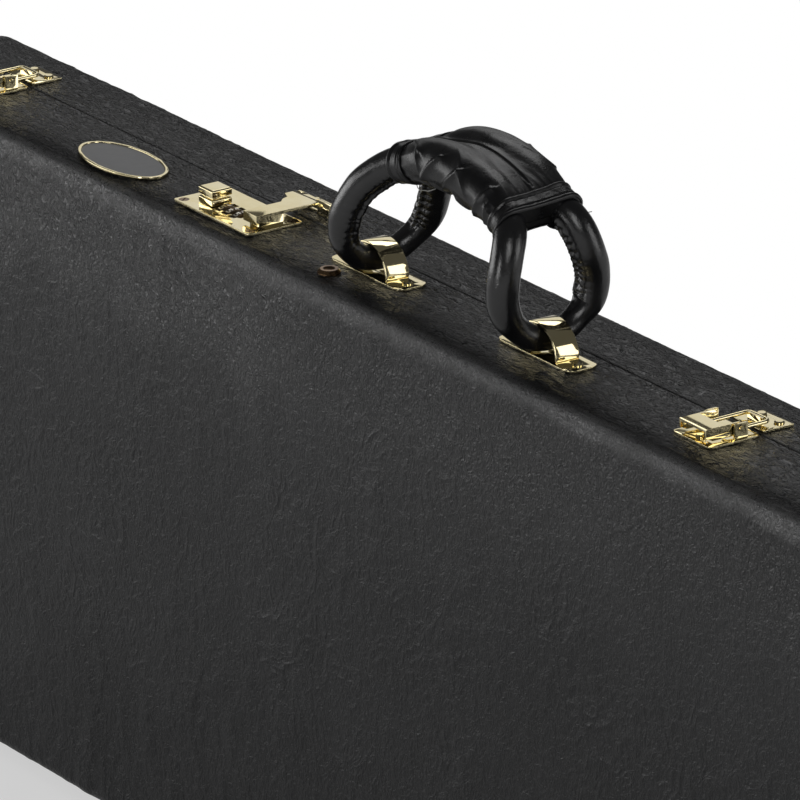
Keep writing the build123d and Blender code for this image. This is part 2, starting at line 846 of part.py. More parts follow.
for number, x in enumerate(latch_places, start=1):
    pivot = (parting + lever_pivot[0], top + lever_pivot[1])
    bail_at = (parting + bail_pivot[0], top + bail_pivot[1])
    with BuildPart() as lever:
        for side in (-1, 1):
            inner = x + side * (lever_half - cheek)
            with BuildSketch(plane_x(inner)):
                with BuildLine():
                    Polyline(
                        (parting + lever_tail, top + lever_top),
                        (parting + lever_tail, top + lever_bottom + lever_tail_slope[1]),
                        (parting + lever_tail + lever_tail_slope[0], top + lever_bottom),
                        (parting + lever_front, top + lever_bottom),
                        (parting + lever_front, top + lever_top - lever_front_bevel),
                        (parting + lever_front - lever_front_bevel, top + lever_top),
                        close=True,
                    )
                make_face()
            extrude(amount=side * cheek)
            rod((inner, *pivot), (x + side * (ear_outer + 0.4), *pivot), lever_stub_radius)
        block(
            (x - lever_half, parting + lever_tail, top + lever_top - lever_bridge),
            (x + lever_half, parting + lever_bridge_front, top + lever_top),
        )
        rod(
            (x - lever_half - cut_past, *bail_at),
            (x + lever_half + cut_past, *bail_at),
            bail_stub_radius + fit_gap,
            Mode.SUBTRACT,
        )
    save(lever, f"latch_lever_{number}")

    bar = (parting + bail_bar[0], top + bail_bar[1])
    with BuildPart() as bail:
        with BuildLine():
            FilletPolyline(
                (x - bail_half, *bail_at),
                (x - bail_half, *bar),
                (x + bail_half, *bar),
                (x + bail_half, *bail_at),
                radius=bail_bend,
            )
        with BuildSketch(Plane(origin=(x - bail_half, *bail_at), z_dir=(0, 1, 0))):
            Circle(bail_wire)
        sweep()
        for side in (-1, 1):
            centre = x + side * bail_half
            rod((centre - bail_eye / 2, *bail_at), (centre + bail_eye / 2, *bail_at), bail_eye / 2)
            rod((centre, *bail_at), (x + side * lever_half, *bail_at), bail_stub_radius)
    save(bail, f"latch_bail_{number}")

# Handle brackets
strap_centre = top + strap_crown - strap_span / 2
with BuildPart() as handle_plates:
    with BuildSketch(Plane.XY.offset(top)):
        with Locations([(x, handle_y) for x in bracket_x]):
            RectangleRounded(*bracket_plate, bracket_corner)
    extrude(amount=plate_thickness)
    for x, y in bracket_rivets:
        rivet_hole(x, y, top + plate_thickness)
save(handle_plates, "handle_plates")

with BuildPart() as handle_straps:
    with BuildSketch(plane_y(handle_y - strap_width / 2)):
        with Locations([(x, strap_centre) for x in bracket_x]):
            Circle(strap_span / 2)
            Circle(strap_span / 2 - strap_thickness, mode=Mode.SUBTRACT)
        with Locations((0, top + plate_thickness)):
            Rectangle(
                bracket_spacing * 2,
                strap_span,
                align=(Align.CENTER, Align.MAX),
                mode=Mode.SUBTRACT,
            )
    extrude(amount=-strap_width)
save(handle_straps, "handle_straps")

# Handle sleeve: two leather-covered strands side by side along an arc
with BuildLine(plane_y(handle_y)) as sleeve_line:
    sleeve_arc = ThreePointArc(
        (sleeve_left[0], top + sleeve_left[1]),
        (sleeve_crown[0], top + sleeve_crown[1]),
        (sleeve_right[0], top + sleeve_right[1]),
    )

with BuildPart() as handle_sleeve:
    for side in (-1, 1):
        with BuildLine():
            add(sleeve_arc.moved(Location((0, side * strand_offset, 0))))
        origin = (sleeve_arc @ 0) + Vector(0, side * strand_offset, 0)
        with BuildSketch(Plane(origin=origin, z_dir=sleeve_arc % 0)):
            Circle(sleeve_radius)
        sweep()
save(handle_sleeve, "handle_sleeve")

for label, end, sense, shoulder, bracket in (
    ("left", 0, -1, left_shoulder, bracket_x[0]),
    ("right", 1, 1, right_shoulder, bracket_x[1]),
):
    away = (sleeve_arc % end) * sense
    start = sleeve_arc @ end
    with BuildPart() as band:
        with BuildSketch(Plane(origin=start, x_dir=(0, 1, 0), z_dir=away)):
            SlotCenterToCenter(2 * strand_offset, 2 * band_radius)
        extrude(amount=band_length)
    save(band, f"handle_band_{label}")

    inside = start + away * (band_length / 2)
    points = [(inside.X, handle_y - strand_offset, inside.Z)]
    points.append((shoulder[0], handle_y - loop_radius, top + shoulder[1]))
    points.append((bracket, handle_y - loop_radius, top + loop_low))
    points.append((bracket, handle_y + loop_radius, top + loop_low))
    points.append((shoulder[0], handle_y + loop_radius, top + shoulder[1]))
    points.append((inside.X, handle_y + strand_offset, inside.Z))
    with BuildPart() as loop:
        with BuildLine() as loop_line:
            bends = [shoulder_bend, loop_bend, loop_bend, shoulder_bend]
            FilletPolyline(*points, radius=bends)
        with BuildSketch(Plane(origin=points[0], z_dir=loop_line.line % 0)):
            Circle(tube_radius)
        sweep()
        add(band.part, mode=Mode.SUBTRACT)
    save(loop, f"handle_loop_{label}")
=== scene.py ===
import json
import math

import bmesh
import bpy
import numpy as np
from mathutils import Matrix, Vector


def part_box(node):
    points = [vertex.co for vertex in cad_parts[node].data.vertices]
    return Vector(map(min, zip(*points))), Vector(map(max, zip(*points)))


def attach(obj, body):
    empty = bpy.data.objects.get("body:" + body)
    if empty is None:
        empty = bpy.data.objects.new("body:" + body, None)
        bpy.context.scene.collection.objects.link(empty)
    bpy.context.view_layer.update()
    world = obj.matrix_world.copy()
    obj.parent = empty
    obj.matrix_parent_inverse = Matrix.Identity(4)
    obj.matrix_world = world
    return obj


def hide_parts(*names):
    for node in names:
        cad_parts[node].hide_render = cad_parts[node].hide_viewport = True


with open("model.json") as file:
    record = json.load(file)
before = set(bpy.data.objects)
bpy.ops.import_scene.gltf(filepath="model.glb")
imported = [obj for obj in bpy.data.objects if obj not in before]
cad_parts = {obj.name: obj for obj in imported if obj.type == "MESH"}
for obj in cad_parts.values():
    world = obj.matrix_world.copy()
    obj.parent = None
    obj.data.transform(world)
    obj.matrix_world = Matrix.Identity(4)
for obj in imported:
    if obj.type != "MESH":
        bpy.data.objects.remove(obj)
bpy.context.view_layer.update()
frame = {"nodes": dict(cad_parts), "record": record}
nodes = frame["nodes"]
node_body = {node: body for body, names in frame["record"]["behaviour"]["bodies"].items() for node in names}
node_slot = {part["node"]: part["material_slot"] for part in frame["record"]["subparts"]}
scene = bpy.context.scene

# Sizes shared with the CAD part, in metres
face_rounding = 0.008
corner_radius = 0.022
bend = corner_radius - face_rounding
cover_thickness = 0.0012
base_low, base_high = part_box("base_covering")
lid_low, lid_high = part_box("lid_covering")
case_top = base_high.z
parting = (base_high.y + lid_low.y) / 2
handle_y = parting - 0.017


# Noise in numpy, seeded so that each run gives the same shapes
table_size = 64
noise_table = np.random.RandomState(7).rand(4, table_size, table_size, table_size)


def noise(points, scale, seed=0):
    """Smooth noise from -1 to 1 at the points, with scale cells to the metre along each axis."""
    place = points * np.asarray(scale, float) + 11.7 * seed + 100.0
    cell = np.floor(place).astype(int)
    part = place - cell
    part = part * part * (3 - 2 * part)
    total = np.zeros(points.shape[:-1])
    for corner in np.ndindex(2, 2, 2):
        near = np.abs(1 - np.array(corner) - part)
        x, y, z = np.moveaxis((cell + corner) % table_size, -1, 0)
        total += near[..., 0] * near[..., 1] * near[..., 2] * noise_table[seed % 4, x, y, z]
    return 2 * total - 1


def ridged(points, scale, seed, octaves=3):
    """Crumpled ridges from 0 to 1: sharp where the folded noise of each octave turns over."""
    total = np.zeros(len(points))
    weight = np.ones(len(points))
    share = 1.0
    for octave in range(octaves):
        fold_height = (1 - np.abs(noise(points, np.asarray(scale, float) * 2.1**octave, seed + octave))) ** 3
        total += share * weight * fold_height
        weight = np.clip(fold_height * 1.6, 0, 1)
        share *= 0.55
    return total / 1.6


def smoothstep(values, low, high):
    t = np.clip((values - low) / (high - low), 0, 1)
    return t * t * (3 - 2 * t)


def bell(values, width):
    return np.exp(-((values / width) ** 2))


# Materials
class Tree:
    """Short calls that add nodes to the tree of a material or of the world."""

    def __init__(self, owner):
        owner.use_nodes = True
        self.nodes = owner.node_tree.nodes
        self.links = owner.node_tree.links

    def feed(self, node, name, value):
        """Links a socket to a node's input, or sets the input to a constant."""
        if isinstance(value, bpy.types.NodeSocket):
            self.links.new(value, node.inputs[name])
        else:
            node.inputs[name].default_value = value

    def add(self, kind, inputs, **settings):
        """The outputs of a new node."""
        node = self.nodes.new(kind)
        for name, value in settings.items():
            setattr(node, name, value)
        for name, value in inputs.items():
            self.feed(node, name, value)
        return node.outputs

    def coordinates(self, scale=(1, 1, 1)):
        place = self.add("ShaderNodeTexCoord", {})["Object"]
        return self.add("ShaderNodeMapping", {"Vector": place, "Scale": scale})["Vector"]

    def attribute(self, name):
        return self.add("ShaderNodeAttribute", {}, attribute_name=name)["Fac"]

    def noise(self, vector, scale, detail=3.0, roughness=0.55, distortion=0.0, ridged=False):
        inputs = {"Vector": vector, "Scale": scale, "Detail": detail, "Roughness": roughness}
        inputs["Distortion"] = distortion
        if not ridged:
            return self.add("ShaderNodeTexNoise", inputs)["Fac"]
        inputs |= {"Offset": 0.9, "Gain": 1.6}
        return self.add("ShaderNodeTexNoise", inputs, noise_type="RIDGED_MULTIFRACTAL")["Fac"]

    def cells(self, vector, scale):
        return self.add("ShaderNodeTexVoronoi", {"Vector": vector, "Scale": scale})["Distance"]

    def ramp(self, value, low, dark, high, light):
        colours = self.nodes.new("ShaderNodeValToRGB")
        for element, position, colour in zip(colours.color_ramp.elements, (low, high), (dark, light)):
            element.position = position
            element.color = (*colour, 1)
        self.feed(colours, "Fac", value)
        return colours.outputs["Color"]

    def mapped(self, value, low, high, to_low, to_high):
        inputs = {"Value": value, "From Min": low, "From Max": high, "To Min": to_low, "To Max": to_high}
        return self.add("ShaderNodeMapRange", inputs)["Result"]

    def mixed(self, share, first, second):
        return self.add("ShaderNodeMixRGB", {"Fac": share, "Color1": first, "Color2": second})["Color"]

    def math(self, operation, first, second):
        return self.add("ShaderNodeMath", {0: first, 1: second}, operation=operation)["Value"]

    def product(self, first, second):
        return self.math("MULTIPLY", first, second)

    def bumps(self, *layers):
        """The normal that layers of (height, strength, distance) give, one on top of the other."""
        below = {}
        for height, strength, distance in layers:
            inputs = {"Height": height, "Strength": strength, "Distance": distance}
            below = {"Normal": self.add("ShaderNodeBump", inputs | below)["Normal"]}
        return below["Normal"]


class Surface(Tree):
    """A new material and its main shader."""

    def __init__(self, name):
        self.material = bpy.data.materials.new(name)
        super().__init__(self.material)
        self.shader = self.nodes["Principled BSDF"]

    def finished(self, inputs):
        for name, value in inputs.items():
            self.feed(self.shader, name, value)
        return self.material


def metal_material(name, light, dark, roughness, grain=900.0):
    """Polished or plated metal with faint cloudiness, fine scratches and a slightly varied roughness."""
    surface = Surface(name)
    clouds = surface.noise(surface.coordinates(), 120.0)
    scratches = surface.noise(surface.coordinates((0.15, 1.0, 1.0)), grain, 4.0, 0.7)
    return surface.finished(
        {
            "Base Color": surface.ramp(clouds, 0.3, dark, 0.7, light),
            "Roughness": surface.mapped(scratches, 0.3, 0.8, roughness * 0.7, roughness * 1.6),
            "Normal": surface.bumps((scratches, 0.04, 0.0001)),
            "Metallic": 1.0,
        }
    )


def covering_material():
    """Black leatherette: a fine grain, crumpled creases and streaks where it is pulled over an edge."""
    surface = Surface("covering_leatherette")
    vector = surface.coordinates()
    faced = surface.attribute("faced")
    way = surface.mixed(faced, surface.coordinates((0.40, 1.0, 1.0)), surface.coordinates((1.0, 1.0, 0.8)))
    strength = surface.mapped(faced, 0.0, 1.0, 2.0, 0.50)
    patches = surface.mapped(surface.noise(vector, 17.0, 3.0, 0.6), 0.38, 0.62, 0.12, 1.0)
    crumple = surface.product(surface.noise(way, 66.0, 5.0, distortion=1.2, ridged=True), strength)
    crinkle = surface.product(surface.noise(way, 170.0, 4.0, distortion=1.0, ridged=True), strength)
    flecks = surface.noise(way, 270.0, 4.0, distortion=1.5, ridged=True)
    streaks = surface.noise(surface.coordinates((1.0, 1.0, 0.16)), 560.0, 5.0, 0.7, 0.9)
    fine = surface.noise(vector, 700.0, 5.0, 0.65)
    clouds = surface.noise(vector, 14.0, 4.0, 0.6)

    # The export keeps this one level, where the render reads the attribute below
    surface.feed(surface.shader, "Specular IOR Level", 0.4)
    return surface.finished(
        {
            "Base Color": surface.ramp(clouds, 0.3, (0.010, 0.0102, 0.0108), 0.7, (0.017, 0.0173, 0.0182)),
            "Roughness": surface.mapped(fine, 0.3, 0.7, 0.24, 0.36),
            "Specular IOR Level": surface.attribute("gloss"),
            "Normal": surface.bumps(
                (surface.product(crumple, patches), 0.9, 0.0007),
                (crinkle, 0.7, 0.00032),
                (surface.product(flecks, surface.attribute("worn")), 1.0, 0.0011),
                (fine, 0.3, 0.0004),
                (surface.cells(vector, 1100.0), 0.3, 0.0003),
                (surface.product(streaks, surface.attribute("pulled")), 1.0, 0.0026),
            ),
        }
    )


def leather_material(name, dark, light, roughness, grain, shine=0.5):
    """Smooth black leather with pores, faint creases and worn, slightly paler patches."""
    surface = Surface(name)
    vector = surface.coordinates()
    fine = surface.noise(vector, 420.0, 5.0, 0.6, 0.6)
    wear = surface.noise(vector, 60.0, 5.0, 0.62, 0.4)
    pores = surface.cells(vector, 1500.0)
    return surface.finished(
        {
            "Base Color": surface.ramp(wear, 0.35, dark, 0.72, light),
            "Roughness": surface.mapped(wear, 0.3, 0.75, roughness * 0.8, roughness * 1.35),
            "Specular IOR Level": shine,
            "Normal": surface.bumps((pores, grain * 0.6, 0.0002), (fine, grain, 0.0005)),
        }
    )


def plywood_material():
    """Plywood: long fibres, and the stripes of its plies."""
    surface = Surface("plywood")
    fibres = surface.noise(surface.coordinates((0.06, 1.0, 1.0)), 500.0, 5.0, 0.7)
    waves = {"Vector": surface.coordinates(), "Scale": 160.0, "Distortion": 1.0}
    plies = surface.add("ShaderNodeTexWave", waves, bands_direction="DIAGONAL")["Fac"]
    along = surface.ramp(fibres, 0.3, (0.30, 0.19, 0.10), 0.7, (0.50, 0.35, 0.20))
    across = surface.ramp(plies, 0.2, (0.22, 0.13, 0.07), 0.8, (0.55, 0.40, 0.24))
    return surface.finished(
        {
            "Base Color": surface.mixed(0.35, along, across),
            "Roughness": surface.mapped(fibres, 0.2, 0.8, 0.55, 0.8),
            "Normal": surface.bumps((fibres, 0.3, 0.0004)),
        }
    )


def plush_material():
    """Short black plush: tufts, nap that lies in patches, and a soft sheen."""
    surface = Surface("plush")
    vector = surface.coordinates()
    dark, light = (0.016, 0.016, 0.019), (0.04, 0.04, 0.047)
    tufts = surface.noise(vector, 900.0, 4.0, 0.75, 0.3)
    nap = surface.noise(vector, 45.0, 4.0, 0.6, 0.5)
    tuft_colour = surface.ramp(tufts, 0.3, dark, 0.7, light)
    nap_colour = surface.ramp(nap, 0.35, dark, 0.65, light)
    return surface.finished(
        {
            "Base Color": surface.mixed(0.5, tuft_colour, nap_colour),
            "Roughness": surface.mapped(nap, 0.3, 0.7, 0.85, 1.0),
            "Normal": surface.bumps((tufts, 0.8, 0.0012), (nap, 0.3, 0.002)),
            "Sheen Weight": 0.35,
            "Sheen Roughness": 0.5,
            "Specular IOR Level": 0.15,
        }
    )


def plastic_material(name, dark, light, roughness):
    """Moulded rubber or plastic with a fine matt texture and slight scuffing."""
    surface = Surface(name)
    vector = surface.coordinates()
    fine = surface.noise(vector, 1600.0, 3.0, 0.6)
    scuff = surface.noise(vector, 90.0, 5.0, 0.65)
    return surface.finished(
        {
            "Base Color": surface.ramp(scuff, 0.35, dark, 0.75, light),
            "Roughness": surface.mapped(scuff, 0.3, 0.8, roughness * 0.8, roughness * 1.2),
            "Normal": surface.bumps((fine, 0.25, 0.0002)),
        }
    )


def grey(level):
    return (level, level, level)


near_black = ((0.0045, 0.0045, 0.005), (0.009, 0.009, 0.0098))
brass = metal_material("polished_brass", (0.90, 0.80, 0.50), (0.86, 0.74, 0.43), 0.06)
bronze = metal_material("aged_bronze", (0.30, 0.19, 0.10), (0.13, 0.08, 0.045), 0.22)
materials = {
    "brass": brass,
    "lock_steel": metal_material("zinc_steel", (0.62, 0.62, 0.60), (0.50, 0.50, 0.49), 0.3, grain=1500.0),
    "plywood": plywood_material(),
    "covering": covering_material(),
    "plush": plush_material(),
    "handle_leather": leather_material("handle_leather", *near_black, 0.29, 0.24, shine=0.42),
    "loop_leather": leather_material("loop_leather", *near_black, 0.20, 0.3, shine=0.75),
    "tab_leather": leather_material("tab_leather", (0.020, 0.018, 0.017), (0.045, 0.04, 0.036), 0.5, 0.3),
    "feet": plastic_material("foot_rubber", grey(0.018), grey(0.04), 0.6),
    "badge_field": plastic_material("badge_grey", (0.16, 0.16, 0.165), (0.23, 0.23, 0.235), 0.45),
    "figures": metal_material("pale_figures", (0.97, 0.94, 0.86), (0.92, 0.88, 0.78), 0.34),
    "thread": plastic_material("grey_thread", (0.30, 0.30, 0.29), (0.55, 0.54, 0.52), 0.7),
    "dials": metal_material("dark_bronze", (0.15, 0.115, 0.080), (0.085, 0.062, 0.042), 0.34),
}
for node, piece in nodes.items():
    piece.data.materials.clear()
    piece.data.materials.append(materials[node_slot[node]])


# Mesh helpers
def add_piece(name, vertices, faces, material, body, smooth=True):
    mesh = bpy.data.meshes.new(name)
    mesh.from_pydata([tuple(v) for v in vertices], [], [tuple(f) for f in faces])
    mesh.update()
    mesh.materials.append(material)
    if smooth:
        mesh.shade_smooth()
    piece = bpy.data.objects.new(name, mesh)
    scene.collection.objects.link(piece)
    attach(piece, body)
    return piece


def quads(rows, columns, closed=False):
    """The faces of a grid of vertices, row by row. A closed grid joins its last column to its first."""
    row = np.arange(rows - 1)[:, None] * columns
    column = np.arange(columns if closed else columns - 1)[None, :]
    after = (column + 1) % columns
    corners = [row + column, row + after, row + columns + after, row + columns + column]
    return np.stack(corners, -1).reshape(-1, 4)


def softened(node, width, inlay=None):
    """A copy of a hard CAD piece with rounded edges, which stands for it. An inlay recolours its field."""
    mesh = nodes[node].data.copy()
    work = bmesh.new()
    work.from_mesh(mesh)
    bmesh.ops.remove_doubles(work, verts=work.verts, dist=2e-6)
    bmesh.ops.dissolve_limit(work, angle_limit=math.radians(1.0), verts=work.verts, edges=work.edges)
    if inlay:
        flat = [face for face in work.faces if face.normal.z > 0.99 and len(face.verts) > 12]
        field = max(flat, key=lambda face: face.calc_area())
        field.material_index = 1
        mesh.materials.append(inlay)
    work.to_mesh(mesh)
    work.free()
    piece = bpy.data.objects.new(node + "_finished", mesh)
    scene.collection.objects.link(piece)
    bevel = piece.modifiers.new("rounding", "BEVEL")
    bevel.width = width
    bevel.segments = 3
    bevel.limit_method = "ANGLE"
    bevel.angle_limit = math.radians(34.0)
    bevel.harden_normals = True
    mesh.shade_smooth()
    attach(piece, node_body[node])
    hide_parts(node)


# The covering: one dense skin for each half, with wrinkles in its geometry. The first sizes are the heights
# of its folds, crumples, creases and streaks, and how far it sinks and is pulled in near the edges
side_crumple = 0.00048
side_crease = 0.00050
side_sink = 0.00048
side_pull = 0.00085
face_fold = 0.00080
face_crumple = 0.00040
face_crease = 0.00020
face_swell = 0.00030
face_sink = 0.00050
edge_pull = 0.00045
edge_streak = 0.00020
lip_rise = 0.00012
deepest = -0.0011
face_highest = 0.0006
side_highest = 0.00018
lip_radius = 0.0006
plate_margin = 0.004


def spaced_lines(stops):
    """Grid lines through runs of (start, end, step), whose ends meet."""
    lines = []
    for start, end, step in stops:
        count = max(1, round((end - start) / step))
        lines.extend(np.linspace(start, end, count, endpoint=False))
    lines.append(stops[-1][1])
    return np.array(lines)


def shell_skin(half, low, high, out_y, lines_x, lines_z, side_step):
    """A skin over one half: a face grid that runs on over the rounded edge to the rim and turns in."""
    face_y = low.y if out_y < 0 else high.y
    rim_y = high.y if out_y < 0 else low.y
    middle = (low.z + high.z) / 2
    half_x = high.x - face_rounding
    half_z = (high.z - low.z) / 2 - face_rounding

    # The flat face, its corners bent with the case's outline
    grid_x, grid_z = np.meshgrid(lines_x, lines_z - middle, indexing="ij")
    s = np.clip((np.abs(grid_x) - half_x + bend) / bend, 0, 1)
    t = np.clip((np.abs(grid_z) - half_z + bend) / bend, 0, 1)
    corner = (s > 0) & (t > 0)
    out_s = np.where(corner, s * np.sqrt(1 - t * t / 2), s)
    out_t = np.where(corner, t * np.sqrt(1 - s * s / 2), t)
    flat_x = np.where(s > 0, np.sign(grid_x) * (half_x - bend + bend * out_s), grid_x)
    flat_z = np.where(t > 0, np.sign(grid_z) * (half_z - bend + bend * out_t), grid_z)
    nx, nz = grid_x.shape
    face_points = np.stack([flat_x, np.full_like(flat_x, face_y), flat_z + middle], -1).reshape(-1, 3)
    face_normals = np.tile([0.0, out_y, 0.0], (nx * nz, 1))

    # The face's border, once round, and the way outwards from each of its places
    border = (
        [(i, 0) for i in range(nx)]
        + [(nx - 1, j) for j in range(1, nz)]
        + [(i, nz - 1) for i in range(nx - 2, -1, -1)]
        + [(0, j) for j in range(nz - 2, 0, -1)]
    )
    bi, bj = np.array(border).T
    edge = np.stack([flat_x[bi, bj], flat_z[bi, bj] + middle], -1)
    on_x = (bi == 0) | (bi == nx - 1)
    on_z = (bj == 0) | (bj == nz - 1)
    in_corner = corner[bi, bj]
    way = np.stack(
        [
            np.sign(grid_x[bi, bj]) * np.where(in_corner, out_s[bi, bj], on_x & ~on_z),
            np.sign(grid_z[bi, bj]) * np.where(in_corner, out_t[bi, bj], on_z & ~on_x),
        ],
        -1,
    )
    way /= np.linalg.norm(way, axis=1)[:, None]

    # Rows over the edge, down the side and in round the lip: how far out, how deep, how far turned
    rows = []
    for turn in np.linspace(0, math.pi / 2, 10)[1:]:
        rows.append((face_rounding * math.sin(turn), face_rounding * (1 - math.cos(turn)), turn))
    side = abs(rim_y - face_y)
    count = round((side - face_rounding) / side_step)
    for depth in np.linspace(face_rounding, side - lip_radius, count)[1:]:
        rows.append((face_rounding, depth, math.pi / 2))
    for turn in np.linspace(math.pi / 2, math.pi, 5)[1:]:
        out = face_rounding - lip_radius * (1 - math.sin(turn))
        rows.append((out, side - lip_radius - lip_radius * math.cos(turn), turn))
    rows.append((face_rounding - cover_thickness * 1.2, side, math.pi))
    points = [face_points]
    normals = [face_normals]
    for out, depth, turn in rows:
        ring = edge + way * out
        lean = way * math.sin(turn)
        points.append(np.insert(ring, 1, face_y - out_y * depth, axis=1))
        normals.append(np.insert(lean, 1, out_y * math.cos(turn), axis=1))
    points = np.concatenate(points)
    normals = np.concatenate(normals)
    offset, shares = wrinkles(points, normals, face_y, rim_y)
    points = points + normals * offset[:, None]

    # The faces of the grid and of the rows, without those that the lock's plate hides
    faces = quads(nx, nz)
    border_index = bi * nz + bj
    first = len(face_points)
    n = len(border)
    after = (np.arange(n) + 1) % n
    here = [border_index] + [first + k * n + np.arange(n) for k in range(len(rows))]
    band = [np.stack([a, a[after], b[after], b], -1) for a, b in zip(here[:-1], here[1:])]
    band = np.concatenate(band)
    if out_y < 0:
        faces = faces[:, ::-1]
        band = band[:, ::-1]
    faces = np.concatenate([faces, band])
    if half == "base":
        centre = points[faces].mean(axis=1)
        plate_low, plate_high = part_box("lock_plate")
        low_side = centre[:, :2] > np.array(plate_low)[:2] + plate_margin
        high_side = centre[:, :2] < np.array(plate_high)[:2] - plate_margin
        hidden = (low_side & high_side).all(axis=1) & (centre[:, 2] > case_top - 0.003)
        faces = faces[~hidden]
    piece = add_piece(f"{half}_leatherette", points, faces, materials["covering"], half)
    for name, values in shares.items():
        attribute = piece.data.attributes.new(name, "FLOAT", "POINT")
        attribute.data.foreach_set("value", values.astype(np.float32))
    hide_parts(f"{half}_covering")


def wrinkles(points, normals, face_y, rim_y):
    """How far each point of the skin rises, and how pulled, turned to the face, worn and glossy it is."""
    from_face = np.abs(points[:, 1] - face_y)
    from_edge = case_top - points[:, 2]
    share = smoothstep(np.abs(normals[:, 1]), 0.15, 0.85)
    warp = np.stack([noise(points, 26, k) for k in range(3)], -1)
    fine_warp = np.stack([noise(points, 75, k + 1) for k in range(3)], -1)
    warped = points + 0.009 * warp + 0.003 * fine_warp
    patches = smoothstep(noise(points, (13, 22, 13), 2) + 0.5 * noise(points, 34), -0.35, 0.6)

    # The narrow sides, drawn in towards the big face
    side_offset = side_crumple * ridged(warped, (24, 95, 95), 1) * (0.35 + 0.65 * patches)
    side_offset += side_crease * ridged(warped, (62, 210, 210), 3, 2)
    side_offset -= side_pull * (1 - smoothstep(from_face, 0.004, 0.021))

    # The big faces, streaked at the top edge and most crumpled in the corner beside the lock
    near_edge = 1 - smoothstep(from_edge + 0.0022 * noise(points, (150, 150, 60), 3), 0.0085, 0.0150)
    in_band = 1 - smoothstep(from_edge + 0.02 * noise(points, 30), 0.02, 0.08)
    in_corner = smoothstep(-points[:, 0], 0.06, 0.17)
    streaks = noise(warped, (330, 330, 40)) + 0.6 * noise(warped, (520, 520, 70), 2)
    big = ridged(warped, (19, 19, 16), 0) * smoothstep(noise(points, 7, 1), -0.15, 0.5)
    crumple = face_crumple * ridged(warped, (50, 50, 38), 2) * (0.15 + 0.85 * patches)
    small = face_crease * ridged(points + 0.005 * fine_warp, (125, 125, 95), 1, 2) * (0.3 + 0.7 * patches)
    folds = face_fold * big + (crumple + small) * (1 + 2.4 * in_band * in_corner)
    face_offset = edge_streak * streaks * near_edge + folds * (1 - 0.5 * near_edge) - face_sink
    face_offset += face_swell * noise(points, (12, 12, 9), 3)
    face_offset -= edge_pull * (1 - smoothstep(from_edge, 0.006, 0.015))

    offset = (side_offset - side_sink) * (1 - share) + face_offset * share
    lip = smoothstep(-np.abs(points[:, 1] - rim_y), -0.003, -0.0005)
    offset = offset * (1 - lip) + lip_rise * lip * (1 - share)
    offset = np.clip(offset, deepest, np.where(share > 0.5, face_highest, side_highest))

    stretched = (1 - smoothstep(from_face, 0.008, 0.030)) * (1.0 if face_y < 0 else 0.3)
    face_gloss = 0.28 + 0.12 * (1 - smoothstep(from_edge, 0.02, 0.16)) + in_band * (0.06 + 0.90 * in_corner)
    return offset, {
        "pulled": share * near_edge * (0.55 + 0.45 * noise(points, 25, 2)),
        "faced": share,
        "worn": share * (0.10 + in_band * (0.25 + 0.75 * in_corner)) + 0.8 * (1 - share),
        "gloss": share * (face_gloss + 0.85 * near_edge) + (1 - share) * (0.56 - 0.50 * stretched),
    }


# The grid is finer in the part that the photograph shows
seen_x = (-0.37, 0.13)
seen_z = 0.130
seen_step = 0.00125
plain_step = 0.003
bend_step = 0.0028
case_end = base_high.x - face_rounding
face_low = base_low.z + face_rounding
face_high = base_high.z - face_rounding
x_lines = spaced_lines(
    (
        (-case_end, bend - case_end, bend_step),
        (bend - case_end, seen_x[0], plain_step),
        (seen_x[0], seen_x[1], seen_step),
        (seen_x[1], case_end - bend, plain_step),
        (case_end - bend, case_end, bend_step),
    )
)
fine_z = spaced_lines(
    (
        (face_low, face_low + bend, bend_step),
        (face_low + bend, seen_z, 0.0035),
        (seen_z, face_high - bend, seen_step),
        (face_high - bend, face_high, seen_step),
    )
)
coarse_z = spaced_lines(
    (
        (face_low, face_low + bend, bend_step),
        (face_low + bend, face_high - bend, plain_step),
        (face_high - bend, face_high, bend_step),
    )
)
shell_skin("base", base_low, base_high, -1, x_lines, fine_z, seen_step)
shell_skin("lid", lid_low, lid_high, 1, x_lines, coarse_z, seen_step)


# The handle: two leather tubes side by side in a padded sleeve, which part into a loop at each end
loop_radius = 0.0066
loop_padding = 0.0016
loop_sides = 96
sleeve_radius_at_end = 0.0098
sleeve_padding = 0.0025
band_reach = 0.010
strand_reach = 0.012
half_turn_steps = 74
bridge_steps = 46
grip_rows = 190


def smooth_path(points, step):
    """Evenly spaced points on a smooth curve through the given ones."""
    points = np.asarray(points, float)
    known = np.concatenate([2 * points[:1] - points[1:2], points, 2 * points[-1:] - points[-2:-1]])
    dense = []
    for a, b, c, d in zip(known[:-3], known[1:-2], known[2:-1], known[3:]):
        t = np.linspace(0, 1, 40, endpoint=False)[:, None]
        dense.append(
            0.5 * (2 * b + (c - a) * t + (2 * a - 5 * b + 4 * c - d) * t**2 + (3 * b - a - 3 * c + d) * t**3)
        )
    dense = np.concatenate(dense + [points[-1:]])
    travelled = np.r_[0, np.cumsum(np.linalg.norm(np.diff(dense, axis=0), axis=1))]
    count = max(2, round(travelled[-1] / step))
    even = np.linspace(0, travelled[-1], count)
    path = np.stack([np.interp(even, travelled, dense[:, k]) for k in range(3)], -1)
    for _ in range(10):
        path[1:-1] = 0.25 * path[:-2] + 0.5 * path[1:-1] + 0.25 * path[2:]
    return path


def tube_frames(path, guide):
    """Along, first and second cross directions at each point. The first leans towards the guide points."""
    along = np.gradient(path, axis=0)
    along /= np.linalg.norm(along, axis=1)[:, None]
    first = guide - path
    first -= along * np.sum(first * along, axis=1)[:, None]
    first /= np.linalg.norm(first, axis=1)[:, None]
    return along, first, np.cross(along, first)


